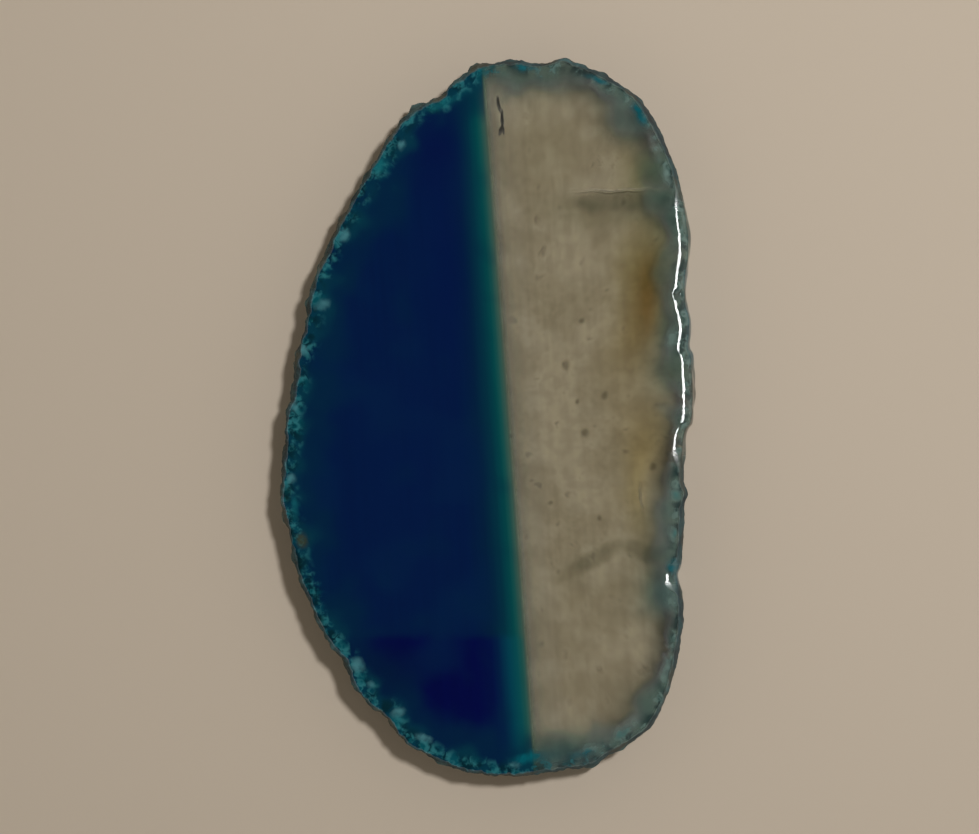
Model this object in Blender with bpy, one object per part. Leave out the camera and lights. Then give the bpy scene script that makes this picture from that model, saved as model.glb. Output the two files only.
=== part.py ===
"""A polished agate slice, dyed blue along one side: one flat plate of stone with two sawn, polished
faces and the nodule's own knobbly rind for a rim. It lies on its lower face with its length along Y,
and its straight, clear side faces +X. Metres, +Z up, with the origin under the middle of the plate, on
the surface it lies on.
"""

import math

import bmesh
import bpy
from mathutils import Vector, noise

MM = 0.001

# The plate, in millimetres
THICKNESS = 5.0
PLAN_SHIFT = (-0.10, -0.12)

# The widest outline of the rim seen from above, clockwise from the top, in millimetres
OUTLINE = [
    (-0.3, 44.2), (3.7, 44.6), (6.2, 44.3), (8.9, 44.6), (10.5, 44.3), (13.7, 43.2), (16.4, 41.7),
    (19.2, 39.5), (21.7, 35.4), (23.4, 31.4), (24.1, 28.7), (25.0, 25.3), (25.4, 21.6), (25.1, 18.1),
    (24.8, 15.0), (25.4, 12.0), (25.3, 8.9), (25.7, 7.6), (25.9, 2.9), (25.6, -0.4), (24.9, -2.1),
    (24.6, -7.3), (25.1, -9.4), (24.6, -11.2), (24.5, -14.5), (24.2, -18.0), (23.8, -19.4), (24.3, -21.5),
    (24.5, -23.9), (24.2, -27.5), (23.0, -33.1), (20.9, -37.7), (19.4, -39.3), (15.1, -42.0), (13.2, -43.1),
    (7.8, -43.9), (3.2, -44.5), (-0.9, -44.3), (-4.7, -43.1), (-8.2, -41.5), (-11.0, -39.5), (-12.9, -36.9),
    (-15.1, -35.2), (-16.8, -32.7), (-18.0, -30.0), (-19.9, -27.5), (-21.4, -24.6), (-23.6, -19.6),
    (-24.4, -16.1), (-25.6, -10.4), (-25.7, -7.2), (-25.2, -1.0), (-23.9, 5.6), (-23.7, 7.7), (-21.9, 15.7),
    (-19.0, 23.3), (-15.1, 30.2), (-12.1, 35.1), (-10.1, 37.7), (-7.9, 39.1), (-5.9, 40.0), (-4.8, 41.5),
    (-3.2, 42.3), (-1.9, 43.5),
]

# The rim's section: how far each polished face stops short of the widest outline, and how deep its edge
# rounds over
TOP_INSET = (0.50, 1.60)
TOP_DEPTH = (0.70, 0.95)
LOW_INSET = 0.55
LOW_DEPTH = 0.80
BULGE = 0.22
LEAN = Vector((0.45, 0.30, 0.0))
WORN_FROM = 12.0
WORN_TO = 21.0

# The rind's lumps: height and spacing of the swells and of the knobs on them, how strong they are at the
# faces and half way down the wall, how far the rind sinks back from the outline, and the share of the
# lumps left where it is worn
SWELL = (0.34, 4.6)
KNOB = (0.66, 2.5)
RELIEF = (0.70, 1.30)
SINK = 0.36
LUMPS_WORN = 0.30

# How finely the rim is faceted, and the angle in degrees from which its edges stay sharp
ROUND_STEPS = 300
TOP_STEPS = 3
WALL_STEPS = 5
LOW_STEPS = 2
FINE_STEPS = 12
SHARP_FROM = 35.0

STONE_COLOUR = (0.004, 0.030, 0.085, 1.0)
STONE_ROUGHNESS = 0.12


def smoothstep(low, high, value):
    """0 below low and 1 above high, with a smooth rise between."""
    share = min(max((value - low) / (high - low), 0.0), 1.0)
    return share * share * (3.0 - 2.0 * share)


def between(pair, share):
    """The value a share of the way from the pair's first number to its second."""
    return pair[0] + (pair[1] - pair[0]) * share


def smooth_loop(points, steps):
    """A closed Catmull-Rom curve through the points, with this many steps from each to the next."""
    corners = [Vector((x, y, 0.0)) for x, y in points]
    count = len(corners)
    loop = []
    for i in range(count):
        before, here, after, beyond = (corners[(i + k) % count] for k in (-1, 0, 1, 2))
        slope = after - before
        bend = 2.0 * before - 5.0 * here + 4.0 * after - beyond
        twist = 3.0 * here - before - 3.0 * after + beyond
        for step in range(steps):
            t = step / steps
            loop.append(here + 0.5 * (slope * t + bend * t**2 + twist * t**3))
    return loop


def evenly(loop, count):
    """The same closed curve as this many points with equal steps between them."""
    ends = loop[1:] + loop[:1]
    lengths = [(b - a).length for a, b in zip(loop, ends)]
    step = sum(lengths) / count
    placed = []
    walked = 0.0
    for a, b, length in zip(loop, ends, lengths):
        while len(placed) < count and len(placed) * step <= walked + length:
            placed.append(a.lerp(b, (len(placed) * step - walked) / length))
        walked += length
    return placed


def outward(loop):
    """The direction out of a clockwise outline at each of its points."""
    count = len(loop)
    along = [(loop[(i + 1) % count] - loop[i - 1]).normalized() for i in range(count)]
    return [Vector((-a.y, a.x, 0.0)) for a in along]


def worn(point):
    """How smooth the rind is: 0 where it is knobbly, 1 along the straight side, where it is worn."""
    return smoothstep(WORN_FROM, WORN_TO, point.x)


def lumps(point, wear):
    """How far the rind stands out at a point of the rim: broad swells, with round knobs on them."""
    swell = noise.noise(point / SWELL[1]) * SWELL[0]
    nearest = noise.voronoi(point / KNOB[1])[0][0]
    knob = (0.5 - min(nearest, 1.0)) * KNOB[0]
    strength = between(RELIEF, math.sin(math.pi * point.z / THICKNESS))
    strength *= between((1.0, LUMPS_WORN), wear)
    return (swell + knob) * strength - SINK


def section(wear):
    """The rim's section from the upper face's edge to the lower face's, as pairs of inset and height."""
    top_inset, top_depth = between(TOP_INSET, wear), between(TOP_DEPTH, wear)
    wall_top, wall_low = THICKNESS - top_depth, LOW_DEPTH
    path = []
    for step in range(TOP_STEPS):
        turn = 0.5 * math.pi * step / TOP_STEPS
        path.append((top_inset * (1.0 - math.sin(turn)), THICKNESS - top_depth * (1.0 - math.cos(turn))))
    for step in range(WALL_STEPS):
        share = step / WALL_STEPS
        path.append((-BULGE * math.sin(math.pi * share), wall_top + (wall_low - wall_top) * share))
    for step in range(LOW_STEPS + 1):
        turn = 0.5 * math.pi * step / LOW_STEPS
        path.append((LOW_INSET * (1.0 - math.cos(turn)), LOW_DEPTH * (1.0 - math.sin(turn))))
    return path


def rim_rings(count):
    """The rim as closed rings of points in metres, from the upper face's edge down to the lower face's."""
    outline = evenly(smooth_loop(OUTLINE, FINE_STEPS), count)
    columns = []
    for point, out in zip(outline, outward(outline)):
        wear = worn(point)
        column = []
        for inset, height in section(wear):
            lean = LEAN * (0.5 - height / THICKNESS)
            place = point - out * inset + lean + Vector((*PLAN_SHIFT, height))
            column.append((place + out * lumps(place, wear)) * MM)
        columns.append(column)
    return list(zip(*columns))


def stone_mesh(name):
    """The whole plate: the rim's rings joined by quads, with a flat face across each end."""
    bm = bmesh.new()
    rings = [[bm.verts.new(point) for point in ring] for ring in rim_rings(ROUND_STEPS)]
    for upper, lower in zip(rings, rings[1:]):
        for i in range(ROUND_STEPS):
            bm.faces.new((upper[i - 1], upper[i], lower[i], lower[i - 1]))
    bm.faces.new(rings[0])
    bm.faces.new(rings[-1])
    bmesh.ops.recalc_face_normals(bm, faces=bm.faces)
    mesh = bpy.data.meshes.new(name)
    bm.to_mesh(mesh)
    bm.free()
    mesh.shade_smooth()
    mesh.set_sharp_from_angle(angle=math.radians(SHARP_FROM))
    return mesh


def stone_material():
    """Polished agate in the dye's deep blue."""
    material = bpy.data.materials.new("polished_agate")
    material.use_nodes = True
    shader = material.node_tree.nodes["Principled BSDF"]
    shader.inputs["Base Color"].default_value = STONE_COLOUR
    shader.inputs["Roughness"].default_value = STONE_ROUGHNESS
    shader.inputs["Metallic"].default_value = 0.0
    return material


def main():
    for old in list(bpy.data.objects):
        bpy.data.objects.remove(old)
    parts = bpy.data.collections.new("agate_slice")
    bpy.context.scene.collection.children.link(parts)
    stone = bpy.data.objects.new("agate_slice", stone_mesh("agate_slice"))
    stone.data.materials.append(stone_material())
    parts.objects.link(stone)


main()
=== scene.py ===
"""The looks of a polished agate slice, dyed blue along its curved side and clear along its straight side:
one fine mesh of stone with its natural rim, one material that runs through the whole plate, a plain floor
and soft studio light. Metres, +Z up, in the same frame as the solid.
"""

import math

import bpy
import numpy as np
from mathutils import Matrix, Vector, kdtree, noise
from mathutils.geometry import delaunay_2d_cdt


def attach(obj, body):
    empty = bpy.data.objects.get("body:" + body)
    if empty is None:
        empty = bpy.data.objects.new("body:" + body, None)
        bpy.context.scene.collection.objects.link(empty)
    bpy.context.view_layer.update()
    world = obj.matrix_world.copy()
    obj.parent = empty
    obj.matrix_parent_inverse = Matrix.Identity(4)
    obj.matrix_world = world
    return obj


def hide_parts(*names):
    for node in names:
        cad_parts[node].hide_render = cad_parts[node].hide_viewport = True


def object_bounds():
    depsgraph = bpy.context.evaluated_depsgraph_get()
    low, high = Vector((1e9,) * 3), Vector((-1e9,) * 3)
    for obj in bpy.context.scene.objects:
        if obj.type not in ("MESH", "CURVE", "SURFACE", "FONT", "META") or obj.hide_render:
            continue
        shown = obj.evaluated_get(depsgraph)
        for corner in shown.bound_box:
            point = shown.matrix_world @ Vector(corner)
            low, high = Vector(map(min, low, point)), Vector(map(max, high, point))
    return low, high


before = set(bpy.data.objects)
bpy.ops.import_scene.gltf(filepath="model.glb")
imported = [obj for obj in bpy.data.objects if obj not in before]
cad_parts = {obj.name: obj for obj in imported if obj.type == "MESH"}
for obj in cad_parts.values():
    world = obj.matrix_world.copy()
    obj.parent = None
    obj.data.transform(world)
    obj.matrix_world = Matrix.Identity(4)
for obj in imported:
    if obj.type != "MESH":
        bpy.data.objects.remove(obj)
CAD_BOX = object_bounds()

MM = 0.001

# The plate, in millimetres
THICKNESS = 5.0
PLAN_SHIFT = (-0.10, -0.12)

# The widest outline of the rim seen from above, clockwise from the top, in millimetres
OUTLINE = [
    (-0.3, 44.2), (3.7, 44.6), (6.2, 44.3), (8.9, 44.6), (10.5, 44.3), (13.7, 43.2), (16.4, 41.7),
    (19.2, 39.5), (21.7, 35.4), (23.4, 31.4), (24.1, 28.7), (25.0, 25.3), (25.4, 21.6), (25.1, 18.1),
    (24.8, 15.0), (25.4, 12.0), (25.3, 8.9), (25.7, 7.6), (25.9, 2.9), (25.6, -0.4), (24.9, -2.1),
    (24.6, -7.3), (25.1, -9.4), (24.6, -11.2), (24.5, -14.5), (24.2, -18.0), (23.8, -19.4), (24.3, -21.5),
    (24.5, -23.9), (24.2, -27.5), (23.0, -33.1), (20.9, -37.7), (19.4, -39.3), (15.1, -42.0), (13.2, -43.1),
    (7.8, -43.9), (3.2, -44.5), (-0.9, -44.3), (-4.7, -43.1), (-8.2, -41.5), (-11.0, -39.5), (-12.9, -36.9),
    (-15.1, -35.2), (-16.8, -32.7), (-18.0, -30.0), (-19.9, -27.5), (-21.4, -24.6), (-23.6, -19.6),
    (-24.4, -16.1), (-25.6, -10.4), (-25.7, -7.2), (-25.2, -1.0), (-23.9, 5.6), (-23.7, 7.7), (-21.9, 15.7),
    (-19.0, 23.3), (-15.1, 30.2), (-12.1, 35.1), (-10.1, 37.7), (-7.9, 39.1), (-5.9, 40.0), (-4.8, 41.5),
    (-3.2, 42.3), (-1.9, 43.5),
]

# The rim's section: how far each polished face stops short of the widest outline and how deep its edge
# rounds over, the upper one's for the rough rind and for the glossy bevel, how far the wall bulges, and how
# far it leans over the whole thickness
TOP_INSET = (0.50, 1.82)
TOP_DEPTH = (0.70, 0.95)
LOW_INSET = 0.55
LOW_DEPTH = 0.80
BULGE = 0.22
LEAN = (0.45, 0.30)

# Where the rind is worn smooth, across the plate, and where it is glossy, along it: both ends of one long
# stretch, and a spot below it by its middle, its reach and its core
WORN_FROM = 12.0
WORN_TO = 21.0
GLOSSY_TOP = (29.0, 25.0)
GLOSSY_END = (-7.0, -3.5)
GLOSSY_SPOT = (-19.5, 2.2, 0.6)

# A dent in the glossy bevel: its place, softness and depth, and the heights between which it grows
DENT = ((23.55, 15.1), (0.75, 0.7))
DENT_SOFT = 0.9
DENT_DEPTH = 0.40
DENT_HEIGHTS = (2.0, 4.0)

# The rind's lumps, as height and spacing: broad swells, round knobs on them, small growths on those, fine
# grain, and the glossy stretch's waves. Then how strong swells and knobs are at the faces and half way down
# the wall, how far the rind sinks back from the outline, and the shares left where it is worn and glossy
SWELL = (0.34, 4.6)
KNOB = (0.66, 2.5)
GROWTH = (0.30, 1.05)
GRAIN = (0.05, 0.32)
WAVES = (0.16, 2.4)
RELIEF = (0.70, 1.30)
SINK = 0.36
LUMPS_WORN = 0.30
FINE_WORN = 0.60
FINE_GLOSSY = 0.04

# How each octave of cloudy noise weakens and shrinks from the one before it, how many the grain has, and
# where in the noise the growths are taken
OCTAVE_STEPS = (1.0, 2.0)
GRAIN_OCTAVES = 3
GROWTHS_AT = (7.0, 3.0, 1.0)

# How finely the mesh is made: columns round the rim, rows down its section, steps between the outline's
# points, rings of the faces in from their edge, and the spacing of the points inside the last ring, with the
# share of it that they keep clear of that ring. The triangles there lie inside the ring alone, and points
# this close count as one
ROUND_STEPS = 1200
TOP_STEPS = 9
WALL_STEPS = 18
LOW_STEPS = 6
FINE_STEPS = 24
FACE_RINGS = (0.12, 0.3, 0.5, 0.75, 1.0, 1.3, 1.6, 1.95, 2.35, 2.8, 3.3, 4.0, 4.8, 5.8, 7.0)
GRID = 0.8
GRID_MARGIN = 0.6
KEEP_INSIDE = 1
SAME_POINT = 1e-6

# Wobbles shorter than this are smoothed out of the outline to find its outward direction, and out of the
# faces' inner rings
EVEN_OUT = 3.0
EVEN_OVER = 6.0

# The greatest distance from the rim that is measured, and the angle from which edges stay sharp
FARTHEST = 7.0
SHARP_FROM = 50.0

# The dye's straight front, by two points on it at the top and bottom of the plate, in millimetres
FRONT_TOP = (-0.88, 41.3)
FRONT_LOW = (5.24, -41.2)

# How strongly the slice is lit, as a share of what would show a white surface as full white
LIT = 0.79

# The dye's colours as they show, from deep in the blue to past the front: how far the list reaches to
# each side of the front, and its stops
DYE_DEPTH = 6.0
DYE_PAST = 1.6
DYE_STOPS = (
    (0.0, (2, 24, 64)), (0.30, (2, 31, 60)), (0.51, (2, 48, 64)), (0.59, (2, 59, 69)),
    (0.66, (4, 68, 71)), (0.72, (22, 76, 74)), (0.79, (54, 86, 77)), (1.0, (120, 128, 110)),
)
DYE_LOW_STOPS = (
    (0.0, (2, 8, 63)), (0.27, (2, 17, 65)), (0.39, (2, 32, 68)), (0.55, (2, 60, 78)),
    (0.68, (7, 73, 79)), (0.75, (27, 81, 77)), (0.79, (46, 87, 80)), (1.0, (116, 128, 114)),
)

# Beyond the dye's front: over how many millimetres it fades, what it leaves of the clear stone's red,
# green and blue on the way, and how far the stone is open to light
FRONT_REACH = 5.0
FRONT_STOPS = (
    (0.0, (0.08, 0.17, 0.14, 0.0)), (0.024, (0.13, 0.21, 0.18, 0.31)), (0.05, (0.19, 0.26, 0.21, 0.46)),
    (0.10, (0.30, 0.35, 0.28, 0.63)), (0.20, (0.62, 0.61, 0.54, 0.82)), (0.30, (0.80, 0.79, 0.72, 0.90)),
    (0.45, (0.92, 0.92, 0.88, 0.95)), (0.65, (0.97, 0.97, 0.97, 0.98)), (1.0, (1.0, 1.0, 1.0, 1.0)),
)

# How far behind the front the clouds and patches in the dye start and are full, where dye and clear stone
# are joined, where the dye's low end lies along the plate, and what the dye's bands keep of each colour
DYE_CLEARS = (-1.2, -5.0)
BLEND = (0.0, 0.35)
LOW_END = (-26.4, -27.8)
DYE_BAND_TINT = (0.80, 0.80, 0.86, 1.0)

# What the clear stone keeps of each colour, and what its clouds, wisps, bands, fine specks, larger specks
# and haze keep of that, how clear it is, and how much of that the haze takes where it is thickest
CLEAR_TINT = (0.99, 0.975, 0.945)
CLOUD_TINT = (0.89, 0.88, 0.86)
WISP_TINT = (0.92, 0.92, 0.92, 1.0)
BAND_TINT = (0.95, 0.95, 0.95, 1.0)
SPECK_TINT = (0.80, 0.80, 0.82, 1.0)
SPOT_TINT = (0.66, 0.66, 0.64, 1.0)
HAZE_TINT = (0.66, 0.85, 0.80)
THICK_HAZE_TINT = (0.47, 0.68, 0.66)
CLEARNESS = 0.98
HAZE_TAKES = 0.07

# Every oval below is a column through the plate: its middle, its radii and, where it is tilted, its turn
# in degrees

# Patches in the dye: place, softness, strength, and colour as it shows
DYE_PATCHES = (
    (((-3.0, 40.6), (3.4, 1.2), 28.0), 0.7, 0.9, (2, 16, 26)),
    (((-13.0, -31.5), (9.0, 6.0)), 1.0, 0.5, (2, 10, 50)),
    (((-8.5, -6.0), (15.0, 28.0)), 1.0, 0.5, (3, 23, 66)),
    (((-4.0, 20.0), (7.0, 24.0)), 1.0, 0.7, (2, 19, 65)),
    (((-6.4, 33.0), (6.5, 8.5), -20.0), 1.0, 0.95, (2, 17, 62)),
)

# Stains in the clear stone: place, softness, and what they keep of each colour
STAINS = (
    (((19.4, 17.0), (5.0, 12.0)), 1.0, (0.84, 0.80, 0.58)),
    (((19.9, 14.8), (2.1, 8.0), 4.0), 1.0, (0.98, 0.82, 0.66)),
    (((20.0, -3.1), (4.6, 8.0)), 1.0, (1.0, 0.96, 0.84)),
    (((18.9, -9.4), (2.4, 11.0)), 1.0, (0.95, 0.92, 0.78)),
    (((17.6, 5.0), (5.6, 14.0)), 1.0, (0.94, 0.92, 0.86)),
    (((18.8, 9.6), (3.8, 6.4)), 1.0, (0.86, 0.82, 0.72)),
    (((19.5, 30.5), (4.8, 6.0)), 1.0, (0.95, 0.93, 0.78)),
    (((7.0, 33.0), (8.0, 11.0)), 1.0, (0.95, 0.95, 0.93)),
    (((14.5, 24.6), (12.0, 2.6)), 1.0, (0.86, 0.87, 0.84)),
    (((13.6, -21.6), (12.0, 2.6), 20.0), 1.0, (0.96, 0.96, 0.95)),
)

# Small dark specks in the clear stone
SPECKS = (
    ((14.4, 2.5), (0.50, 0.80)), ((12.0, -2.1), (0.65, 0.85)), ((11.0, 1.9), (0.40, 0.50)),
    ((7.5, -10.6), (0.40, 0.42)), ((13.7, -12.6), (0.50, 0.60)), ((20.3, -6.3), (0.55, 0.70)),
    ((9.6, 6.3), (0.70, 0.90)), ((11.6, 12.0), (0.5, 0.4)),
)

# Darker bands along the clear stone's two healed cracks: places, and what they keep of each colour
CRACK_BANDS_AND_SHADOW = (
    # The upper band is painted shadow below the crack's light line
    ((((16.2, 26.7), (10.5, 1.8), 1.0), ((20.6, 26.8), (4.5, 1.7), 2.0)), (0.70, 0.71, 0.68, 1.0)),
    ((((12.9, -17.7), (6.6, 1.5), 29.0), ((19.3, -16.8), (4.4, 1.6), -23.0)), (0.78, 0.79, 0.76, 1.0)),
)

# Where the haze draws back to the rim, how softly, and by how much
HAZE_GAP_SOFT = 0.6
HAZE_GAP_DEPTH = 2.6
HAZE_GAPS = (((20.6, -3.6), (3.8, 5.0)), ((19.8, -29.5), (3.6, 6.0)))

# Thicker patches of the haze near the rim: place, softness, and what they keep of each colour
LOBES = (
    (((23.0, 5.6), (3.6, 3.4)), 0.9, (0.58, 0.66, 0.56)),
    (((22.0, -21.8), (3.8, 5.0)), 0.9, (0.42, 0.65, 0.68)),
    (((22.9, -12.5), (2.6, 5.4)), 1.0, (0.80, 1.0, 0.95)),
    (((22.6, 10.5), (2.6, 5.0)), 1.0, (0.57, 0.72, 0.70)),
    (((21.0, 30.4), (3.6, 5.0), 20.0), 1.0, (0.56, 0.76, 0.68)),
    (((19.0, 37.0), (4.0, 4.8), -40.0), 1.0, (0.32, 0.52, 0.50)),
    (((9.0, -41.6), (13.0, 3.8)), 1.0, (0.33, 0.59, 0.64)),
    (((8.0, 42.6), (12.0, 3.2)), 1.0, (0.56, 0.64, 0.60)),
)

# The growths along the rim: how wide they are, how far in they reach, and how strongly they show
GROWTH_LAYERS = ((2.1, 1.9, 0.85), (0.9, 1.3, 0.65))

# Pale, teal, brown and dark spots in the rim: places, softness, strength, and colour as it shows
RIM_SPOTS_AND_DENT_SHADE = (
    (
        (
            ((-9.1, 37.9), (1.0, 0.7), 30.0), ((-10.7, 33.5), (0.9, 0.6), 60.0),
            ((-17.8, 22.4), (0.8, 1.1), -20.0), ((-20.6, 13.8), (1.3, 0.8), 30.0),
            ((-24.3, -7.6), (0.7, 0.7)), ((-16.2, -30.6), (1.1, 1.2), 30.0),
            ((-14.5, -33.0), (0.7, 0.6)), ((-11.2, -36.6), (1.2, 0.8), 20.0), ((3.3, -43.0), (0.9, 0.6)),
            ((-22.8, 8.2), (0.7, 0.9)), ((-24.0, 1.4), (0.6, 0.9)), ((-8.0, -39.6), (1.3, 0.7), -25.0),
        ),
        0.7, 0.75, (68, 119, 127),
    ),
    (
        (
            ((-23.9, -11.2), (0.7, 1.9)), ((-11.6, -37.6), (1.3, 1.2)), ((-13.3, 31.0), (1.4, 1.6), -30.0),
            ((-0.6, 43.1), (2.6, 1.1), 12.0), ((-5.6, 38.6), (2.8, 0.9), 25.0),
        ),
        0.8, 0.75, (20, 96, 104),
    ),
    (
        (
            ((23.0, -9.7), (1.3, 1.3)), ((22.7, -14.4), (0.9, 1.4)), ((22.8, -22.6), (1.1, 1.8)),
            ((21.9, -31.4), (0.8, 2.0), -12.0), ((22.6, 9.4), (0.9, 2.4), -8.0),
            ((17.0, -38.3), (3.2, 1.1), 38.0), ((20.8, 33.0), (1.2, 0.7), -20.0),
            ((21.9, 29.6), (0.8, 1.8), 15.0), ((12.6, -40.9), (2.0, 0.6), 12.0),
        ),
        0.7, 0.85, (116, 140, 134),
    ),
    (
        (((23.1, -9.7), (0.8, 0.8)), ((22.9, -14.4), (0.5, 0.8)), ((16.6, -38.9), (1.6, 0.5), 38.0)),
        0.7, 0.7, (50, 112, 112),
    ),
    (
        (
            ((18.7, 37.4), (1.2, 2.4), 32.0), ((13.2, 41.6), (2.2, 0.6), -22.0), ((22.7, -18.4), (1.1, 1.3)),
            ((5.6, -42.0), (3.4, 0.9), 6.0), ((11.4, -41.6), (2.4, 0.6), 12.0), ((4.4, 43.0), (2.0, 0.6)),
        ),
        0.7, 0.95, (4, 92, 104),
    ),
    ((((-23.0, -15.3), (1.0, 1.4)), ((-24.1, -18.0), (0.6, 1.2))), 0.8, 0.8, (62, 64, 40)),
    # Dark spots, the one on the glossy bevel painted shade in its dent
    (
        (
            ((-24.6, -14.2), (0.8, 1.0)), ((-23.7, -17.8), (0.8, 2.8), 16.0), ((23.3, 15.1), (1.1, 0.9)),
            ((-25.2, -3.4), (0.7, 1.8)), ((-20.9, -25.2), (0.7, 1.6), 30.0), ((-24.9, -9.6), (0.6, 1.4)),
        ),
        0.6, 0.9, (4, 30, 32),
    ),
)

# Fine opaque lines: places, softness, strength, and colour as it shows
LINES = (
    (
        (
            ((1.25, 38.6), (0.26, 1.1), 10.0), ((1.55, 37.0), (0.26, 1.3), 0.0),
            ((1.42, 35.6), (0.22, 0.9), -12.0), ((1.72, 35.4), (0.16, 0.7), 14.0),
        ),
        0.5, 0.95, (16, 12, 6),
    ),
    (
        (
            ((16.0, 27.95), (8.0, 0.20), 1.0), ((18.95, -10.0), (0.24, 2.4)),
            ((24.0, -3.9), (1.1, 0.2), -20.0),
        ),
        1.0, 0.7, (140, 131, 106),
    ),
)

# Patches on the worn, glossy side of the rim: places, and colour as it shows
SKIN_PATCHES_AND_DENT_SHADE = (
    ((((25.2, 10.6), (3.0, 5.0)), ((24.4, 16.6), (2.6, 2.2)), ((23.8, -19.4), (2.2, 2.2))), (4, 66, 80)),
    ((((25.4, 0.6), (3.0, 6.0)), ((24.2, -26.0), (2.4, 4.0))), (44, 40, 32)),
    # Painted shade in the dent on the glossy bevel
    ((((23.6, 15.1), (1.7, 1.2)),), (3, 26, 28)),
)

# The rind's tones: dark and pale teal, brown, its knobs and hollows, and the worn side's two
RIND_TONES = ((8, 36, 40), (24, 56, 58), (58, 56, 42))
# Painted light for the rind's knobs and painted shade for its hollows
KNOB_PAINTED_LIGHT_TONE = (64, 104, 106)
HOLLOW_PAINTED_SHADE_TONE = (8, 20, 22)
WORN_TONES = ((6, 40, 42), (32, 68, 66))

# Tones of the rim's stone: dark gaps between growths, the milky band along the clear side, and the growths
GAP_TONE = (3, 32, 40)
MILK_TONES = ((60, 94, 81), (88, 117, 102))
GROWTH_TONES = ((10, 84, 94), (56, 92, 88))
GROWTH_OUTLINE_TONES = ((40, 104, 112), (112, 136, 130))

# Tones of the dyed stone: its clouds, and the greener stone towards the rim
DYE_CLOUD_TONE = (3, 31, 66)
NEAR_RIM_TONE = (2, 36, 60)
RIM_TONE = (5, 50, 66)

# How the markings' edges wander: their wobbles' width and size, and the noise's seed. Then the width and
# detail of the noise that shifts the haze's reach in from the rim, and by how many millimetres
WOBBLES = {"loose": (2.2, 0.35), "looser": (6.0, 1.1), "fine": (0.9, 0.28)}
WOBBLE_SEED = 1
RIM_WANDERS = (4.5, 2)
RIM_WANDERS_BY = 2.4

# Patches of each kind: their width in millimetres, their detail, where in the noise they are taken, and the
# noise's values where they start and where they are full
PATCHES = {
    "smears": (6.0, 2, 50.0, -0.2, 0.3),
    "clouds": (6.0, 3, 0.0, -0.25, 0.25),
    "haze": (2.4, 3, 20.0, -0.25, 0.25),
    "dye": (9.0, 2, 80.0, -0.1, 0.4),
    "rim": (1.9, 3, 0.0, -0.2, 0.2),
    "spots": (1.3, 3, 0.0, -0.2, 0.2),
    "rind": (1.6, 3, 0.0, -0.2, 0.2),
    "brown": (5.0, 2, 0.0, 0.05, 0.3),
}

# What grows towards the rim, or with the rind's relief: its share where it is full, and the distances or
# heights where it starts and is full
NEAR_RIM = (0.7, 7.0, 3.2)
AT_RIM = (0.9, 3.2, 1.0)
HAZE_GROWS = (1.0, 4.2, 0.6)
MILK_GROWS = (0.7, 4.8, 1.2)
GAPS_GROW = (0.8, 2.4, 0.9)
# Painted light on the rind's knobs and painted shade in its hollows, by their relief
KNOBS_PAINTED_LIGHT = (0.55, 0.10, 0.42)
HOLLOWS_PAINTED_SHADE = (0.8, -0.08, -0.40)

# How far past the dye's front the milky band grows, the shares of the dye's clouds, the rind's brown and the
# worn side's patches, with their softness, and how strong the rim's spots are between and on their patches
MILK_PAST_FRONT = (0.0, 3.0)
DYE_CLOUD_SHARE = 0.6
BROWN_SHARE = 0.7
SKIN_PATCH_SHARE = 0.95
SKIN_PATCH_SOFT = 0.5
SPOTS_FADE = (0.6, 1.0)

# Over the upper bevel, from the face's edge to the wall, for the rough rind and the glossy bevel: where the
# skin starts and is full, how much it covers, and how much grain it has
SKIN_FROM = (0.0, 0.4)
SKIN_FULL = (0.3, 1.0)
SKIN_COVERS = (1.0, 0.9)
SKIN_GRAIN = (1.0, 0.05)

# Noise in the material: its width in millimetres, detail and roughness, and how slowly the bands change
# along the front, as a share of how they change across it
BANDS = (0.9, 2.0, 0.6)
BANDS_ALONG = 0.03
WISPS = (1.8, 3.0, 0.65)
RIM_PATCHES = (1.9, 3.0, 0.65)
FINE_GRAIN = (0.40, 2.0, 0.65)

# The noise's values where each marking starts and is full, with how strong the dye's bands are there, and
# how soft the edges of specks and of the bands along the cracks are
BAND_RANGE = (0.35, 0.65)
DYE_BAND_RANGE = (0.35, 0.7, 0.0, 0.4)
WISP_RANGE = (0.42, 0.62)
SPECK_RANGE = (0.33, 0.27)
RIM_PATCH_RANGE = (0.40, 0.62)
SPECK_SOFT = 0.8
CRACK_BAND_SOFT = 0.7

# The growths: their smallest and largest radius as a share of a cell, how far they fade out beyond and
# inside their reach, where their teal middles and pale outlines lie about that radius, and how far past the
# dye's front they grow paler
GROWTH_RADII = (0.16, 0.50)
GROWTH_FADES = (0.8, -0.9)
GROWTH_MIDDLE = (0.06, -0.14, 0.0, 0.6)
GROWTH_OUTLINE = (0.22, 0.02)
GROWTH_PALES = (3.0, 12.0)

# Roughness of the polished faces between smears, of the matt rind and of the glossy worn rind
POLISH = (0.03, 0.08)
RIND_ROUGHNESS = (0.80, 0.035)

# How deep the rind's grain is, and the share of light that the skin over clear stone still lets through
GRAIN_DEPTH = 0.22
SKIN_PASSES = 0.2

# Light crosses the plate's faces four times, so a cover's share of clearness is taken as a fourth root
CROSSINGS_ROOT = 0.25

# How the clear stone bends and absorbs light
IOR = 1.54
ABSORPTION_COLOUR = (0.52, 0.535, 0.30, 1.0)
ABSORPTION_DENSITY = 71.0

# The floor: its size in metres, and how far below the slice it lies in millimetres
FLOOR_COLOUR = (0.56, 0.48, 0.39, 1.0)
FLOOR_SIZE = 4.0
FLOOR_GAP = 0.05
FLOOR_ROUGHNESS = 0.9
FLOOR_SPECULAR = 0.1

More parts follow.
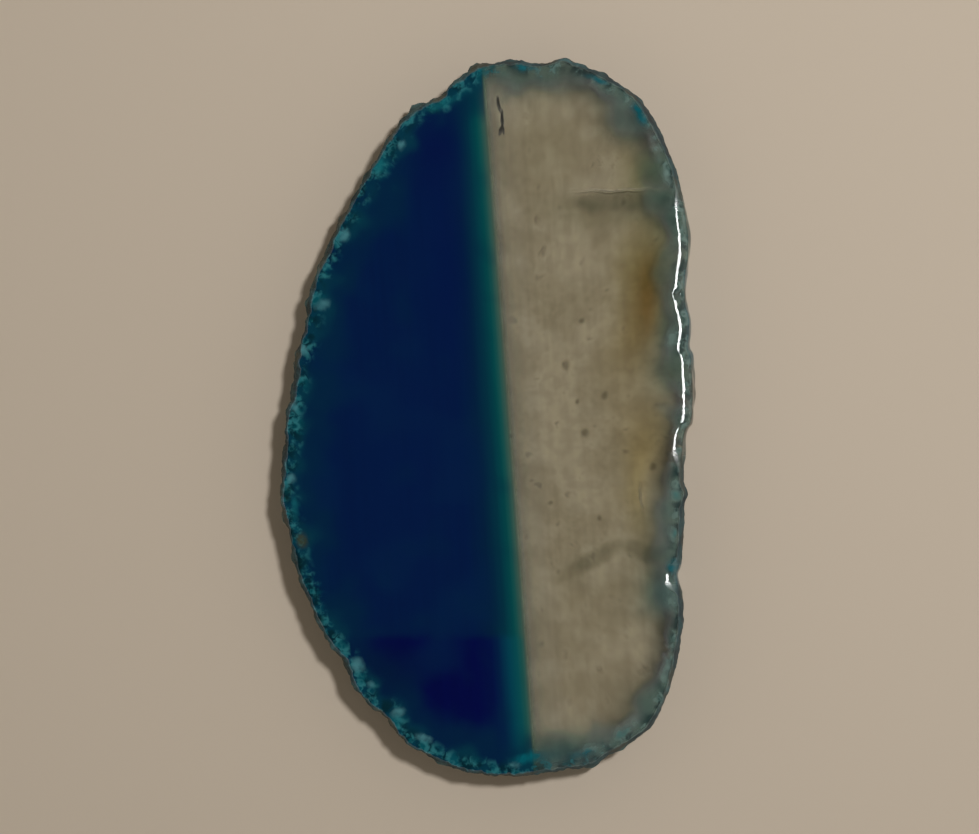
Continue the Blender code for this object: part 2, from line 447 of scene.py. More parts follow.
# The lights: azimuth from +X towards +Y and elevation in degrees, distance and size in metres, and power in
# watts. Then the sky's colours at the horizon and overhead, and how high each is
KEY = {"azimuth": 40.0, "elevation": 62.0, "distance": 0.50, "size": (0.064, 0.064), "power": 1.5}
GLINT = {"azimuth": 4.0, "elevation": 60.0, "distance": 0.80, "size": (0.36, 0.13), "power": 3.8}
SKY_LOW = (0.93, 0.85, 0.72, 1.0)
SKY_TOP = (0.02, 0.02, 0.02, 1.0)
SKY_HEIGHTS = (0.0, 0.95)

# The camera: its lens, the point on the plate that it is over, and its height, in millimetres, and its
# nearest distance in metres
CAMERA_LENS = 85.0
CAMERA_OVER = (0.12, -0.05)
CAMERA_HEIGHT = 289.9
CAMERA_NEAR = 0.01

# How far light is followed, how bright one stray path may be, and how much noise is left
BOUNCES = {"all": 8, "diffuse": 2, "glossy": 3, "transmission": 5}
BRIGHTEST_PATH = 20.0
NOISE_LEFT = 0.03


def smoothstep(low, high, value):
    """0 below low and 1 above high, with a smooth rise between."""
    share = np.clip((value - low) / (high - low), 0.0, 1.0)
    return share * share * (3.0 - 2.0 * share)


def between(pair, share):
    """The value a share of the way from the pair's first number to its second."""
    return pair[0] + (pair[1] - pair[0]) * share


def smooth_loop(points, steps):
    """A closed Catmull-Rom curve through the points, with this many steps from each to the next."""
    here = np.array(points)[:, None, :]
    before, after, beyond = (np.roll(here, k, axis=0) for k in (1, -1, -2))
    t = (np.arange(steps) / steps)[None, :, None]
    slope = after - before
    bend = 2.0 * before - 5.0 * here + 4.0 * after - beyond
    twist = 3.0 * here - before - 3.0 * after + beyond
    return (here + 0.5 * (slope * t + bend * t**2 + twist * t**3)).reshape(-1, 2)


def evenly(loop, count):
    """The same closed curve as this many points with equal steps between them."""
    closed = np.vstack([loop, loop[:1]])
    walked = np.concatenate([[0.0], np.cumsum(np.linalg.norm(np.diff(closed, axis=0), axis=1))])
    at = np.linspace(0.0, walked[-1], count, endpoint=False)
    return np.stack([np.interp(at, walked, closed[:, k]) for k in (0, 1)], axis=1)


def outward(loop):
    """The direction out of a clockwise outline at each of its points."""
    along = np.roll(loop, -1, axis=0) - np.roll(loop, 1, axis=0)
    along /= np.linalg.norm(along, axis=1, keepdims=True)
    return np.stack([-along[:, 1], along[:, 0]], axis=1)


def evened(loop, over):
    """The closed curve with its wobbles shorter than this many millimetres smoothed away."""
    length = np.linalg.norm(np.roll(loop, -1, axis=0) - loop, axis=1).sum()
    waves = np.fft.fftfreq(len(loop), d=length / len(loop))
    keep = np.exp(-0.5 * (waves * over * math.pi) ** 2)
    return np.stack([np.fft.ifft(np.fft.fft(loop[:, k]) * keep).real for k in (0, 1)], axis=1)


def worn(x):
    """How smooth the rind is: 0 where it is knobbly, 1 along the straight side, where it is worn."""
    return smoothstep(WORN_FROM, WORN_TO, x)


def glossy(x, y):
    """How glossy the rind is: 1 along the middle of the worn side and at one spot below it, 0 elsewhere."""
    stretch = smoothstep(*GLOSSY_TOP, y) * smoothstep(*GLOSSY_END, y)
    middle, reach, core = GLOSSY_SPOT
    return worn(x) * np.maximum(stretch, smoothstep(reach, core, abs(y - middle)))


def knobs(point, size):
    """Round knobs packed side by side: half their height above 0 at their middles, below it between them."""
    nearest = noise.voronoi(point / size[1])[0][0]
    return (0.5 - min(nearest, 1.0)) * size[0]


def lumps(point, wear, gloss):
    """How far the rind stands out at a point of the rim, and its relief alone."""
    coarse = noise.noise(point / SWELL[1]) * SWELL[0] + knobs(point, KNOB)
    strength = between(RELIEF, math.sin(math.pi * point.z / THICKNESS)) * between((1.0, LUMPS_WORN), wear)
    fine = knobs(point + Vector(GROWTHS_AT), GROWTH)
    fine += noise.fractal(point / GRAIN[1], *OCTAVE_STEPS, GRAIN_OCTAVES) * GRAIN[0]
    fine *= between((1.0, FINE_WORN), wear) * between((1.0, FINE_GLOSSY), gloss)
    waves = noise.noise(point / WAVES[1]) * WAVES[0] * gloss
    return coarse * strength - SINK + fine + waves, coarse + fine


def section(gloss):
    """The rim's section from the upper face's edge to the lower face's, as pairs of inset and height."""
    top_inset, top_depth = between(TOP_INSET, gloss), between(TOP_DEPTH, gloss)
    wall_top, wall_low = THICKNESS - top_depth, LOW_DEPTH
    path = []
    for step in range(TOP_STEPS):
        turn = 0.5 * math.pi * step / TOP_STEPS
        path.append((top_inset * (1.0 - math.sin(turn)), THICKNESS - top_depth * (1.0 - math.cos(turn))))
    for step in range(WALL_STEPS):
        share = step / WALL_STEPS
        path.append((-BULGE * math.sin(math.pi * share), wall_top + (wall_low - wall_top) * share))
    for step in range(LOW_STEPS + 1):
        turn = 0.5 * math.pi * step / LOW_STEPS
        path.append((LOW_INSET * (1.0 - math.cos(turn)), LOW_DEPTH * (1.0 - math.sin(turn))))
    return path


def rim_rings():
    """The rim's rings from the upper face's edge to the lower face's, as an array, and the relief there."""
    outline = evenly(smooth_loop(OUTLINE, FINE_STEPS), ROUND_STEPS)
    columns, reliefs = [], []
    for point, out in zip(outline, outward(evened(outline, EVEN_OUT))):
        wear, gloss = float(worn(point[0])), float(glossy(*point))
        out = Vector((*out, 0.0))
        column, relief = [], []
        for inset, height in section(gloss):
            leaning = 0.5 - height / THICKNESS
            x = point[0] - out.x * inset + LEAN[0] * leaning + PLAN_SHIFT[0]
            y = point[1] - out.y * inset + LEAN[1] * leaning + PLAN_SHIFT[1]
            place = Vector((x, y, height))
            outwards, fine = lumps(place, wear, gloss)
            column.append(place + out * outwards)
            relief.append(fine)
        columns.append(column)
        reliefs.append(relief)
    return np.array(columns).transpose(1, 0, 2), np.array(reliefs).T


def face_rings(edge):
    """The rings of a polished face inside its edge, which follow its wobbles less and less inwards."""
    calm = evened(edge[:, :2], EVEN_OVER)
    out = outward(calm)
    rings = []
    for inset in FACE_RINGS:
        follow = 1.0 - smoothstep(0.0, EVEN_OVER, inset)
        flat = edge[:, :2] * follow + calm * (1.0 - follow) - out * inset
        rings.append(np.column_stack([flat, edge[:, 2]]))
    return rings


def inside(ring, points):
    """Which points lie inside a closed ring, by how often a line to their right crosses it."""
    x, y = points[:, :1], points[:, 1:]
    ends = np.roll(ring, -1, axis=0)
    rising = (ring[:, 1] > y) != (ends[:, 1] > y)
    step = np.where(ends[:, 1] == ring[:, 1], 1.0, ends[:, 1] - ring[:, 1])
    crossing = ring[:, 0] + (y - ring[:, 1]) * (ends[:, 0] - ring[:, 0]) / step
    return (rising & (x < crossing)).sum(axis=1) % 2 == 1


def filling(ring):
    """An even grid of points inside a ring, and triangles that join the ring's points and those."""
    low, high = ring.min(axis=0), ring.max(axis=0)
    across, along = np.meshgrid(np.arange(low[0], high[0], GRID), np.arange(low[1], high[1], GRID))
    grid = np.column_stack([across.ravel(), along.ravel()])
    calm = ring - outward(ring) * GRID_MARGIN * GRID
    grid = grid[inside(calm, grid)]
    corners = [Vector(point) for point in (*ring.tolist(), *grid.tolist())]
    sides = [(i, (i + 1) % len(ring)) for i in range(len(ring))]
    _, _, triangles, origins, _, _ = delaunay_2d_cdt(corners, sides, [], KEEP_INSIDE, SAME_POINT)
    places = [origin[0] for origin in origins]
    return grid, [tuple(places[i] for i in triangle) for triangle in triangles]


def stone_mesh(name):
    """The whole plate as one closed mesh, with its markings as values at its points."""
    rim, relief = rim_rings()
    upper = face_rings(rim[0])[::-1]
    lower = face_rings(rim[-1])
    rings = np.array([*upper, *rim, *lower])
    # 1 on the rim and 0 on the faces, and the same with a steady rise from 0 to 1 over the upper bevel
    flat = np.zeros((len(FACE_RINGS), ROUND_STEPS))
    on_rim = np.ones_like(relief)
    on_rim[0] = on_rim[-1] = 0.0
    over = on_rim.copy()
    over[:TOP_STEPS] = np.arange(TOP_STEPS)[:, None] / TOP_STEPS

    points = rings.reshape(-1, 3)
    index = np.arange(len(points)).reshape(len(rings), ROUND_STEPS)
    behind = np.roll(index, 1, axis=1)
    quads = np.stack([behind[:-1], index[:-1], index[1:], behind[1:]], axis=-1)
    faces = quads.reshape(-1, 4).tolist()
    for ring, height, turned in ((0, THICKNESS, False), (-1, 0.0, True)):
        grid, triangles = filling(rings[ring][:, :2])
        numbers = [*index[ring].tolist(), *range(len(points), len(points) + len(grid))]
        points = np.vstack([points, np.column_stack([grid, np.full(len(grid), height)])])
        for triangle in triangles:
            corners = [numbers[i] for i in triangle]
            faces.append(corners[::-1] if turned else corners)
    dent = ovals(points[:, :2], (DENT,), DENT_SOFT) * smoothstep(*DENT_HEIGHTS, points[:, 2])
    points[:, 2] -= DENT_DEPTH * dent
    points = np.clip(points * MM, np.array(CAD_BOX[0]), np.array(CAD_BOX[1])) / MM

    mesh = bpy.data.meshes.new(name)
    mesh.from_pydata((points * MM).tolist(), [], faces)
    mesh.update()
    grids = np.zeros(len(points) - rings.size // 3)
    layers = []
    for layer in (on_rim, over, relief):
        layers.append(np.concatenate([flat.ravel(), layer.ravel(), flat.ravel(), grids]))
    mark(mesh, points, distances(rim[len(rim) // 2], points), *layers)
    mesh.shade_smooth()
    mesh.set_sharp_from_angle(angle=math.radians(SHARP_FROM))
    return mesh


def distances(outline, points):
    """How far in from the outline each point is, in millimetres."""
    tree = kdtree.KDTree(len(outline))
    for i, (x, y, _) in enumerate(outline.tolist()):
        tree.insert((x, y, 0.0), i)
    tree.balance()
    return np.array([min(tree.find((x, y, 0.0))[2], FARTHEST) for x, y, _ in points.tolist()])


def clouds(points, size, octaves):
    """Cloudy noise at each point, mostly from -0.5 to 0.5, with clouds about this many millimetres wide."""
    places = (points / size).tolist()
    return np.array([noise.fractal(Vector(place), *OCTAVE_STEPS, octaves) for place in places])


def patches(points, kind):
    """How strongly patches of one kind show at each point."""
    size, detail, where, low, high = PATCHES[kind]
    return smoothstep(low, high, clouds(points + where, size, detail))


def growing(values, share, start, full):
    """A share that grows from nothing where the values are at start to all of it where they are at full."""
    return share * smoothstep(start, full, values)


def wobbled(flat, size, amount):
    """The points moved about by cloudy noise, so that what is drawn there gets a natural edge."""
    shifts = [noise.noise_vector(Vector((x, y, 0.0)))[:2] for x, y in (flat / size).tolist()]
    return flat + np.array(shifts) * amount


def ovals(flat, places, soft, strength=1.0):
    """How strongly a group of ovals shows at each point, each fading in from its edge over this share."""
    deepest = np.zeros(len(flat))
    for centre, radii, *turn in places:
        turn = math.radians(turn[0]) if turn else 0.0
        x, y = (flat - centre).T
        along = (x * math.cos(turn) + y * math.sin(turn)) / radii[0]
        across = (y * math.cos(turn) - x * math.sin(turn)) / radii[1]
        deepest = np.maximum(deepest, 1.0 - np.hypot(along, across))
    return smoothstep(0.0, soft, deepest) * strength


def mixed(share, first, second):
    """The first colour with this share of it replaced by the second, at each point."""
    share = share[:, None]
    return np.asarray(first)[..., :3] * (1.0 - share) + np.asarray(second)[..., :3] * share


class Layer:
    """Opaque tones laid one over another: what they add at each point, and the share they leave bare."""

    def __init__(self, count):
        self.adds = np.zeros((count, 3))
        self.bare = np.ones(count)

    def lay(self, share, tone):
        """Covers this share of each point with a tone."""
        self.adds = mixed(share, self.adds, tone)
        self.bare = self.bare * (1.0 - share)

    def values(self):
        """The layer as four values at each point."""
        return np.column_stack([self.adds, self.bare])


def mark(mesh, points, rim, on_rim, over, relief):
    """Works out the stone's soft markings at the mesh's points and keeps them there."""
    flat = points[:, :2]
    views = {name: wobbled(flat, *wobble) for name, wobble in WOBBLES.items()}
    sheet = np.column_stack([flat, np.zeros(len(flat))])
    wide = rim + RIM_WANDERS_BY * clouds(sheet, *RIM_WANDERS)
    wide += HAZE_GAP_DEPTH * ovals(flat, HAZE_GAPS, HAZE_GAP_SOFT)
    gloss = glossy(*flat.T)
    skin = smoothstep(between(SKIN_FROM, gloss), between(SKIN_FULL, gloss), over)
    colours = {
        "clear": clear_marks(views, sheet, wide),
        "dyed": dyed_marks(views, sheet, wide),
        "under": rim_marks(sheet, rim, wide),
        "spots": spot_marks(views, sheet),
        "rind": rind_marks(views, points, skin, relief, gloss),
    }
    for layer, values in colours.items():
        mesh.attributes.new(layer, "FLOAT_COLOR", "POINT").data.foreach_set("color", values.ravel())
    smears = between(POLISH, patches(sheet, "smears"))
    numbers = {
        "rim_mm": rim,
        "gloss": smears + on_rim * (between(RIND_ROUGHNESS, gloss) - smears),
        "grain": on_rim * between(SKIN_GRAIN, gloss),
    }
    for layer, values in numbers.items():
        mesh.attributes.new(layer, "FLOAT", "POINT").data.foreach_set("value", values)


def clear_marks(views, sheet, wide):
    """The undyed stone's tint with its clouds, stains and haze, and how much clearness the haze leaves."""
    tint = mixed(patches(sheet, "clouds"), np.ones(3), CLOUD_TINT) * CLEAR_TINT
    for place, soft, kept in STAINS:
        tint *= mixed(ovals(views["looser"], (place,), soft), np.ones(3), kept)
    tone = mixed(patches(sheet, "haze"), THICK_HAZE_TINT, HAZE_TINT)
    hazy = growing(wide, *HAZE_GROWS)
    for place, soft, kept in LOBES:
        share = ovals(views["loose"], (place,), soft)
        hazy = np.maximum(hazy, share)
        tone = mixed(share, tone, kept)
    return np.column_stack([tint * mixed(hazy, np.ones(3), tone), 1.0 - HAZE_TAKES * hazy])


def dyed_marks(views, sheet, wide):
    """What lies over the dye's own colours: clouds, patches, and greener stone towards the rim."""
    layer = Layer(len(sheet))
    behind = smoothstep(*DYE_CLEARS, past_front(sheet))
    layer.lay(DYE_CLOUD_SHARE * behind * patches(sheet, "dye"), shown(*DYE_CLOUD_TONE))
    layer.lay(growing(wide, *NEAR_RIM), shown(*NEAR_RIM_TONE))
    for place, soft, share, tone in DYE_PATCHES:
        layer.lay(behind * ovals(views["looser"], (place,), soft, share), shown(*tone))
    layer.lay(growing(wide, *AT_RIM), shown(*RIM_TONE))
    return layer.values()


def past_front(sheet):
    """How far each point of the mesh is beyond the dye's straight front."""
    return (sheet - (*FRONT_TOP, 0.0)) @ np.array(front_directions()[0])


def rim_marks(sheet, rim, wide):
    """What lies under the growths: the clear side's milky band, and dark gaps all round."""
    layer = Layer(len(sheet))
    patchy = patches(sheet, "rim")
    milk = mixed(patchy, shown(*MILK_TONES[0]), shown(*MILK_TONES[1]))
    layer.lay(growing(wide, *MILK_GROWS) * smoothstep(*MILK_PAST_FRONT, past_front(sheet)), milk)
    layer.lay(growing(rim, *GAPS_GROW) * (1.0 - patchy), shown(*GAP_TONE))
    return layer.values()


def spot_marks(views, sheet):
    """The larger spots in the rim, each a little patchy."""
    layer = Layer(len(sheet))
    patchy = between(SPOTS_FADE, patches(sheet, "spots"))
    # Among the dark spots is painted shade in the dent on the glossy bevel
    for places, soft, share, tone in RIM_SPOTS_AND_DENT_SHADE:
        layer.lay(ovals(views["fine"], places, soft, share) * patchy, shown(*tone))
    return layer.values()


def rind_marks(views, points, skin, relief, gloss):
    """The nodule's skin on the rim's wall: dark teal and brown, painted shade in hollows, painted light on
    knobs.
    """
    mottle = patches(points, "rind")
    tone = mixed(mottle, shown(*RIND_TONES[0]), shown(*RIND_TONES[1]))
    tone = mixed(BROWN_SHARE * patches(points, "brown"), tone, shown(*RIND_TONES[2]))
    # Painted light on the knobs, then painted shade in the hollows
    tone = mixed(growing(relief, *KNOBS_PAINTED_LIGHT), tone, shown(*KNOB_PAINTED_LIGHT_TONE))
    tone = mixed(growing(relief, *HOLLOWS_PAINTED_SHADE), tone, shown(*HOLLOW_PAINTED_SHADE_TONE))
    smooth = mixed(mottle, shown(*WORN_TONES[0]), shown(*WORN_TONES[1]))
    # The last patch is painted shade in the dent on the glossy bevel
    for places, patch in SKIN_PATCHES_AND_DENT_SHADE:
        share = ovals(views["loose"], places, SKIN_PATCH_SOFT, SKIN_PATCH_SHARE)
        smooth = mixed(share, smooth, shown(*patch))
    layer = Layer(len(points))
    layer.lay(skin * between(SKIN_COVERS, gloss), mixed(gloss, tone, smooth))
    return layer.values()


class Graph:
    """Builds a material's nodes. Each method but put adds some and returns what comes out of them."""

    def __init__(self, material):
        self.tree = material.node_tree
        self.nodes = self.tree.nodes

    def put(self, socket, value):
        """Sets a socket to a number, a colour or another node's output."""
        if isinstance(value, bpy.types.NodeSocket):
            self.tree.links.new(value, socket)
        else:
            socket.default_value = value

    def math(self, operation, first, second=0.0, third=0.0):
        node = self.nodes.new("ShaderNodeMath")
        node.operation = operation
        for socket, value in zip(node.inputs, (first, second, third)):
            self.put(socket, value)
        return node.outputs[0]

    def vector(self, operation, first, second):
        node = self.nodes.new("ShaderNodeVectorMath")
        node.operation = operation
        self.put(node.inputs[0], first)
        self.put(node.inputs[1], second)
        return node.outputs["Value" if operation == "DOT_PRODUCT" else "Vector"]

    def scaled(self, vector, factor):
        node = self.nodes.new("ShaderNodeVectorMath")
        node.operation = "SCALE"
        self.put(node.inputs[0], vector)
        self.put(node.inputs["Scale"], factor)
        return node.outputs["Vector"]

    def rise(self, value, low, high, start=0.0, end=1.0):
        """From start at low to end at high, smoothly, and level outside them."""
        node = self.nodes.new("ShaderNodeMapRange")
        node.interpolation_type = "SMOOTHSTEP"
        for name, number in (("From Min", low), ("From Max", high), ("To Min", start), ("To Max", end)):
            self.put(node.inputs[name], number)
        self.put(node.inputs["Value"], value)
        return node.outputs["Result"]

    def mix(self, share, first, second):
        """The first colour with this share of it replaced by the second."""
        node = self.nodes.new("ShaderNodeMix")
        node.data_type = "RGBA"
        self.put(node.inputs["Factor"], share)
        for socket, value in zip(node.inputs[6:8], (first, second)):
            self.put(socket, value)
        return node.outputs[2]

    def tint(self, share, first, second):
        """The first colour multiplied by the second, by this share."""
        node = self.nodes.new("ShaderNodeMix")
        node.data_type = "RGBA"
        node.blend_type = "MULTIPLY"
        self.put(node.inputs["Factor"], share)
        for socket, value in zip(node.inputs[6:8], (first, second)):
            self.put(socket, value)
        return node.outputs[2]

    def noise(self, vector, size, detail, roughness, output="Fac", solid=False):
        """Cloudy noise with clouds about this many millimetres wide, the same right through unless solid."""
        node = self.nodes.new("ShaderNodeTexNoise")
        node.noise_dimensions = "3D" if solid else "2D"
        self.put(node.inputs["Vector"], vector)
        node.inputs["Scale"].default_value = 1.0 / size
        node.inputs["Detail"].default_value = detail
        node.inputs["Roughness"].default_value = roughness
        return node.outputs[output]

    def cells(self, vector, size):
        """Cells about this many millimetres wide: how far off their middles are, and each one's colour."""
        node = self.nodes.new("ShaderNodeTexVoronoi")
        node.voronoi_dimensions = "2D"
        self.put(node.inputs["Vector"], vector)
        node.inputs["Scale"].default_value = 1.0 / size
        return node.outputs["Distance"], node.outputs["Color"]

    def ramp(self, value, stops, plain=False):
        """The colour and opacity read off a list of stops, with colours as they show unless plain."""
        node = self.nodes.new("ShaderNodeValToRGB")
        self.put(node.inputs["Fac"], value)
        elements = node.color_ramp.elements
        while len(elements) < len(stops):
            elements.new(1.0)
        for element, (place, colour) in zip(elements, stops):
            element.position = place
            element.color = colour if plain else shown(*colour)
        return node.outputs["Color"], node.outputs["Alpha"]

    def axis(self, vector, index):
        node = self.nodes.new("ShaderNodeSeparateXYZ")
        self.put(node.inputs[0], vector)
        return node.outputs[index]

    def bump(self, height, depth):
        """A normal bent by this height, whose full range is this many millimetres deep."""
        node = self.nodes.new("ShaderNodeBump")
        self.put(node.inputs["Height"], height)
        node.inputs["Distance"].default_value = depth * MM
        return node.outputs["Normal"]

    def banded(self, stone):
        """Coordinates that change quickly across the dye's front and slowly along it."""
        node = self.nodes.new("ShaderNodeCombineXYZ")
        self.put(node.inputs["X"], stone["beyond"])
        self.put(node.inputs["Y"], self.math("MULTIPLY", stone["along"], BANDS_ALONG))
        return node.outputs[0]

    def kept(self, name):
        """A colour and its fourth value kept at the mesh's points, or a single value."""
        node = self.nodes.new("ShaderNodeAttribute")
        node.attribute_name = name
        return node.outputs["Color"], node.outputs["Alpha"], node.outputs["Fac"]

    def laid(self, colour, name):
        """The colour under a layer of tones kept at the mesh's points, and the share left bare."""
        adds, bare, _ = self.kept(name)
        node = self.nodes.new("ShaderNodeVectorMath")
        node.operation = "MULTIPLY_ADD"
        for socket, value in zip(node.inputs, (colour, bare, adds)):
            self.put(socket, value)
        return node.outputs["Vector"], bare

    def wobbled(self, point, size, amount):
        """The point moved about by cloudy noise, so that what is drawn there gets a natural edge."""
        shift = self.vector("SUBTRACT", self.noise(point, size, 1.0, 0.5, "Color"), (0.5, 0.5, 0.5))
        return self.vector("ADD", point, self.scaled(shift, 2.0 * amount))

    def oval(self, point, centre, radii, turn=0.0):
        """How far inside an oval column each point is: 1 at its middle, 0 at its edge and beyond."""
        node = self.nodes.new("ShaderNodeTexGradient")
        node.gradient_type = "SPHERICAL"
        placed = node.texture_mapping
        placed.vector_type = "TEXTURE"
        placed.translation = (*centre, 0.0)
        placed.rotation = (0.0, 0.0, math.radians(turn))
        placed.scale = (*radii, 1.0)
        placed.mapping_z = "NONE"
        self.put(node.inputs["Vector"], point)
        return node.outputs["Fac"]

    def ovals(self, point, places, soft, strength=1.0):
        """How strongly a group of ovals shows at each point, fading in from their edges over this share."""
        deepest = self.oval(point, *places[0])
        for place in places[1:]:
            deepest = self.math("MAXIMUM", deepest, self.oval(point, *place))
        return self.rise(deepest, 0.0, soft, 0.0, strength)

    def cover(self, colour, passed, share, tone):
        """Stone with this share of it covered by an opaque tone."""
        left = self.math("POWER", self.math("SUBTRACT", 1.0, share), CROSSINGS_ROOT)
        return self.mix(share, colour, tone), self.math("MULTIPLY", passed, left)


def shown(red, green, blue):
    """The base colour that shows as this screen colour, 0 to 255 each, under the light on the slice."""
    shares = [value / 255.0 for value in (red, green, blue)]
    linear = [s / 12.92 if s <= 0.04045 else ((s + 0.055) / 1.055) ** 2.4 for s in shares]
    return tuple(value / LIT for value in linear) + (1.0,)


def stone_material():
    """The agate: opaque blue dye with a straight, soft front, clear stone beyond it, and the knobbly rim."""
    material = bpy.data.materials.new("dyed_agate")
    material.use_nodes = True
    g = Graph(material)
    shader = g.nodes["Principled BSDF"]
    place = g.scaled(g.nodes.new("ShaderNodeTexCoord").outputs["Object"], 1.0 / MM)
    stone = {"place": place}
    for name in ("loose", "fine"):
        stone[name] = g.wobbled(place, *WOBBLES[name])
    stone["beyond"], stone["along"] = front_distances(g, place)
    stone["bands"] = g.noise(g.banded(stone), *BANDS)

    clear, hazed = clear_stone(g, stone)
    left, opened = g.ramp(g.math("DIVIDE", stone["beyond"], FRONT_REACH), FRONT_STOPS, plain=True)
    fading = g.tint(1.0, clear, left)
    colour = g.mix(g.rise(stone["beyond"], *BLEND), dyed_stone(g, stone), fading)
    passed = g.math("MULTIPLY", g.math("MULTIPLY", opened, CLEARNESS), hazed)
    colour, passed = growths(g, stone, colour, passed)
    colour, bare = g.laid(colour, "rind")
    passed = g.math("MULTIPLY", passed, g.math("MULTIPLY_ADD", bare, 1.0 - SKIN_PASSES, SKIN_PASSES))

    g.put(shader.inputs["Base Color"], colour)
    g.put(shader.inputs["Transmission Weight"], passed)
    g.put(shader.inputs["Roughness"], g.kept("gloss")[2])
    grain = g.math("MULTIPLY", g.noise(place, *FINE_GRAIN, solid=True), g.kept("grain")[2])
    g.put(shader.inputs["Normal"], g.bump(grain, GRAIN_DEPTH))
    shader.inputs["IOR"].default_value = IOR

    absorbing = g.nodes.new("ShaderNodeVolumeAbsorption")
    absorbing.inputs["Color"].default_value = ABSORPTION_COLOUR
    absorbing.inputs["Density"].default_value = ABSORPTION_DENSITY
    g.tree.links.new(absorbing.outputs["Volume"], g.nodes["Material Output"].inputs["Volume"])
    return material


def front_directions():
    """The directions across the dye's front, into the clear stone, and along it."""
    along = Vector((FRONT_LOW[0] - FRONT_TOP[0], FRONT_LOW[1] - FRONT_TOP[1], 0.0)).normalized()
    return (-along.y, along.x, 0.0), tuple(along)


def front_distances(g, place):
    """How far each point is beyond the dye's straight front, below 0 in the dye, and how far along it."""
    past = g.vector("SUBTRACT", place, (*FRONT_TOP, 0.0))
    across, along = front_directions()
    return g.vector("DOT_PRODUCT", past, across), g.vector("DOT_PRODUCT", past, along)


def dyed_stone(g, stone):
    """The dye's colours: green at its front, then teal and deep blue, and violet at the low end."""
    back = g.math("DIVIDE", g.math("ADD", stone["beyond"], DYE_DEPTH), DYE_DEPTH + DYE_PAST)
    low_end = g.rise(g.axis(stone["loose"], 1), *LOW_END)
    colour = g.mix(low_end, g.ramp(back, DYE_STOPS)[0], g.ramp(back, DYE_LOW_STOPS)[0])
    colour = g.tint(g.rise(stone["bands"], *DYE_BAND_RANGE), colour, DYE_BAND_TINT)
    return g.laid(colour, "dyed")[0]


def clear_stone(g, stone):
    """The undyed stone's tint, and how much of its clearness the haze near the rim leaves."""
    colour, hazed, _ = g.kept("clear")
    wisps = g.noise(stone["loose"], *WISPS)
    colour = g.tint(g.rise(wisps, *WISP_RANGE), colour, WISP_TINT)
    colour = g.tint(g.rise(wisps, *SPECK_RANGE), colour, SPECK_TINT)
    colour = g.tint(g.rise(stone["bands"], *BAND_RANGE), colour, BAND_TINT)
    colour = g.tint(g.ovals(stone["loose"], SPECKS, SPECK_SOFT), colour, SPOT_TINT)
    # The upper crack's band is painted shadow below its light line
    for places, keeping in CRACK_BANDS_AND_SHADOW:
        colour = g.tint(g.ovals(stone["loose"], places, CRACK_BAND_SOFT), colour, keeping)
    return colour, hazed


def growths(g, stone, colour, passed):
    """The small round growths packed along the rim, pale outlines with teal inside, and some larger ones."""
    colour, bare = g.laid(colour, "under")
    passed = g.math("MULTIPLY", passed, g.math("POWER", bare, CROSSINGS_ROOT))
    rim = g.kept("rim_mm")[2]
    patchy = g.rise(g.noise(stone["place"], *RIM_PATCHES), *RIM_PATCH_RANGE)
    paler = g.rise(stone["beyond"], *GROWTH_PALES)
    inner = g.mix(paler, *(shown(*tone) for tone in GROWTH_TONES))
    outer = g.mix(paler, *(shown(*tone) for tone in GROWTH_OUTLINE_TONES))
    for size, reach, strength in GROWTH_LAYERS:
        spread, chance = g.cells(stone["fine"], size)
        radius = g.rise(g.axis(chance, 1), 0.0, 1.0, *GROWTH_RADII)
        start, full = (reach + fade for fade in GROWTH_FADES)
        near = g.math("MULTIPLY", g.rise(rim, start, full, 0.0, strength), patchy)
        off = g.math("SUBTRACT", spread, radius)
        filled = g.math("MULTIPLY", g.rise(off, *GROWTH_MIDDLE), near)
        outline = g.math("MULTIPLY", g.rise(g.math("ABSOLUTE", off), *GROWTH_OUTLINE), near)
        colour, passed = g.cover(colour, passed, filled, inner)
        colour, passed = g.cover(colour, passed, outline, outer)
    colour, bare = g.laid(colour, "spots")
    passed = g.math("MULTIPLY", passed, g.math("POWER", bare, CROSSINGS_ROOT))
    for places, soft, share, tone in LINES:
        colour, passed = g.cover(colour, passed, g.ovals(stone["loose"], places, soft, share), shown(*tone))
    return colour, passed


def floor():
    """A plain pale floor just under the slice."""
    half = 0.5 * FLOOR_SIZE
    height = -FLOOR_GAP * MM
    mesh = bpy.data.meshes.new("floor")
    corners = [(-half, -half, height), (half, -half, height), (half, half, height), (-half, half, height)]
    mesh.from_pydata(corners, [], [(0, 1, 2, 3)])
    material = bpy.data.materials.new("floor")
    material.use_nodes = True
    shader = material.node_tree.nodes["Principled BSDF"]
    shader.inputs["Base Color"].default_value = FLOOR_COLOUR
    shader.inputs["Roughness"].default_value = FLOOR_ROUGHNESS
    shader.inputs["Specular IOR Level"].default_value = FLOOR_SPECULAR
    mesh.materials.append(material)
    ground = bpy.data.objects.new("floor", mesh)
    bpy.context.scene.collection.objects.link(ground)
    return ground


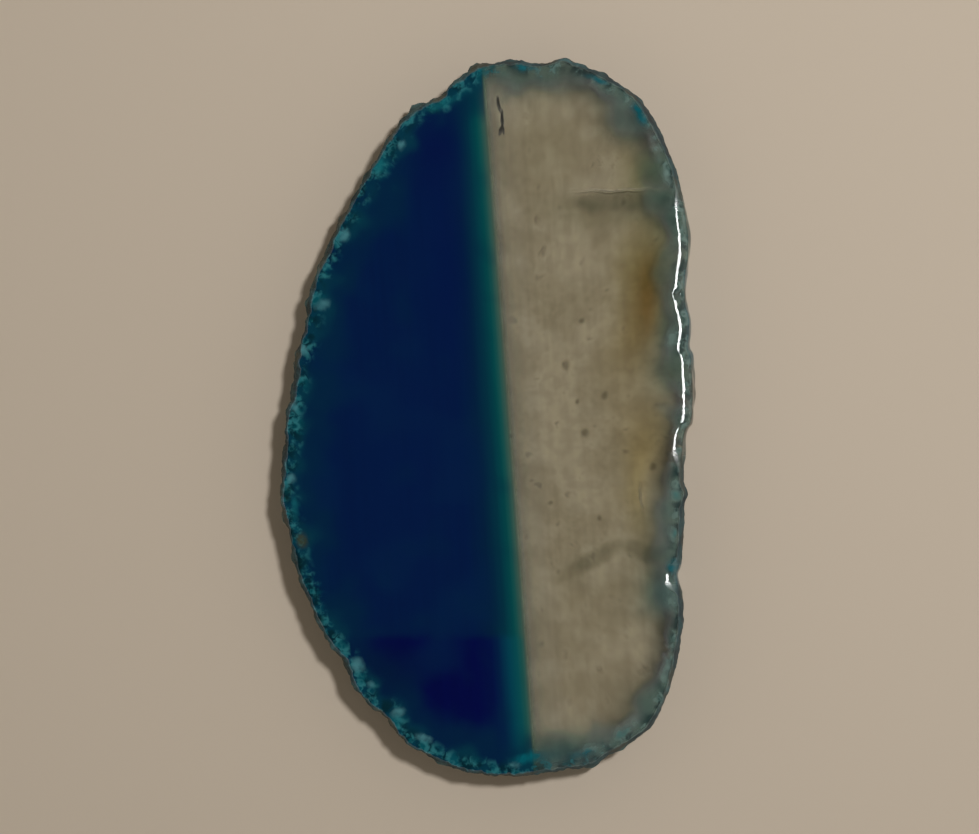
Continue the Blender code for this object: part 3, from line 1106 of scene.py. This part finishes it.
def lamp(name, azimuth, elevation, distance, size, power):
    """A soft oval light that faces the slice."""
    turn, lift = math.radians(azimuth), math.radians(elevation)
    way = Vector((math.cos(lift) * math.cos(turn), math.cos(lift) * math.sin(turn), math.sin(lift)))
    light = bpy.data.lights.new(name, "AREA")
    light.shape = "ELLIPSE"
    light.size, light.size_y = size
    light.energy = power
    holder = bpy.data.objects.new(name, light)
    holder.location = way * distance
    holder.rotation_euler = way.to_track_quat("Z", "Y").to_euler()
    bpy.context.scene.collection.objects.link(holder)
    return holder


def sky():
    """Soft light from all round: dark straight above and brighter towards the horizon."""
    world = bpy.data.worlds.new("studio")
    world.use_nodes = True
    nodes, links = world.node_tree.nodes, world.node_tree.links
    height = nodes.new("ShaderNodeSeparateXYZ")
    links.new(nodes.new("ShaderNodeTexCoord").outputs["Generated"], height.inputs[0])
    ramp = nodes.new("ShaderNodeValToRGB")
    ramp.color_ramp.interpolation = "EASE"
    for element, height_there, colour in zip(ramp.color_ramp.elements, SKY_HEIGHTS, (SKY_LOW, SKY_TOP)):
        element.position = height_there
        element.color = colour
    links.new(height.outputs["Z"], ramp.inputs["Fac"])
    links.new(ramp.outputs["Color"], nodes["Background"].inputs["Color"])
    bpy.context.scene.world = world


def camera():
    """Straight above the slice, with +Y up the picture."""
    lens = bpy.data.cameras.new("camera")
    lens.lens = CAMERA_LENS
    lens.clip_start = CAMERA_NEAR
    lens.dof.use_dof = False
    holder = bpy.data.objects.new("camera", lens)
    holder.location = (CAMERA_OVER[0] * MM, CAMERA_OVER[1] * MM, CAMERA_HEIGHT * MM)
    bpy.context.scene.collection.objects.link(holder)
    bpy.context.scene.camera = holder


def main():
    noise.seed_set(WOBBLE_SEED)
    stone = bpy.data.objects.new("dyed_agate_slice", stone_mesh("dyed_agate_slice"))
    bpy.context.scene.collection.objects.link(stone)
    stone.data.materials.append(stone_material())
    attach(stone, "root")
    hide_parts("agate_slice")
    ground = floor()
    lamp("key", **KEY)
    glint = lamp("glint", **GLINT)
    glint.visible_diffuse = False
    glint.visible_transmission = False
    sky()
    camera()
    scene = bpy.context.scene
    scene.view_settings.view_transform = "Standard"
    scene.cycles.sample_clamp_indirect = BRIGHTEST_PATH
    scene.cycles.max_bounces = BOUNCES["all"]
    scene.cycles.diffuse_bounces = BOUNCES["diffuse"]
    scene.cycles.glossy_bounces = BOUNCES["glossy"]
    scene.cycles.transmission_bounces = BOUNCES["transmission"]
    scene.cycles.adaptive_threshold = NOISE_LEFT


main()
